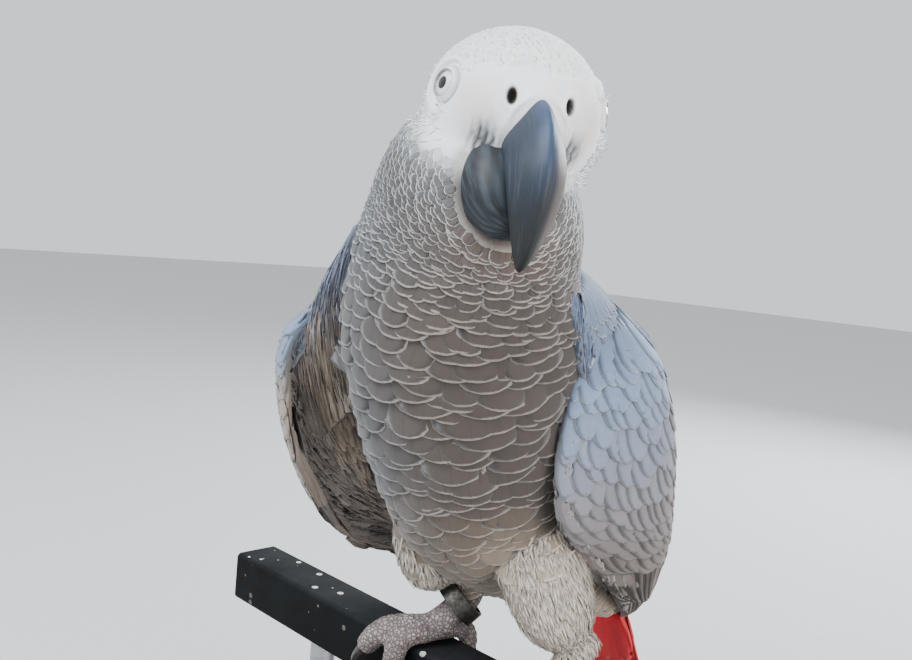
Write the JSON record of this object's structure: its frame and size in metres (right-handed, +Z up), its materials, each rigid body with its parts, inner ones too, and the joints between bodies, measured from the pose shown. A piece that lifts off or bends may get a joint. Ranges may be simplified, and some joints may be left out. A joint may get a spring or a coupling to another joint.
{
  "type": "grey parrot model",
  "caption": "Life-size still model of a grey parrot with a red tail, wings held a little out and head turned, gripping a cut length of square rail on a round display stand.",
  "frame": {"origin": "centre of the underside of the stand's round base", "axes": "+Z up; the rail runs along X; the bird faces -Y, its head turned to its own left, towards +X"},
  "size_m": [0.25, 0.25, 0.2455],
  "materials": {
    "head_feathers": "bare powdery white skin and small white feathers",
    "neck_feathers": "small grey feathers with pale rims",
    "body_feathers": "taupe-grey feathers with pale rims",
    "wing_feathers": "grey flight feathers and coverts",
    "tail_feathers": "scarlet feathers",
    "thigh_feathers": "fluffy cream-white feathers",
    "foot_skin": "grey scaly skin",
    "bill": "slate-black horn with a soft sheen",
    "claw": "dark horn",
    "eye": "wet, pale iris and black pupil",
    "ring_metal": "dark and worn",
    "rail_coating": "black powder coat, weathered",
    "base_wood": "ebonised, satin",
    "rod_steel": "brushed"
  },
  "bodies": {
    "root": {"head": "head_feathers", "bill_upper": "bill", "bill_lower": "bill", "eye_left": "eye", "eye_right": "eye", "neck": "neck_feathers", "torso": "body_feathers", "tail": "tail_feathers", "wing_left": "wing_feathers", "wing_right": "wing_feathers", "thigh_left": "thigh_feathers", "thigh_right": "thigh_feathers", "foot_left": "foot_skin", "foot_right": "foot_skin", "claw_left_outer_front": "claw", "claw_left_inner_front": "claw", "claw_left_outer_back": "claw", "claw_left_inner_back": "claw", "claw_right_outer_front": "claw", "claw_right_inner_front": "claw", "claw_right_outer_back": "claw", "claw_right_inner_back": "claw", "leg_ring": "ring_metal", "perch_rail": "rail_coating", "stand_base": "base_wood", "stand_rod_left": "rod_steel", "stand_rod_right": "rod_steel"}
  },
  "joints": []
}
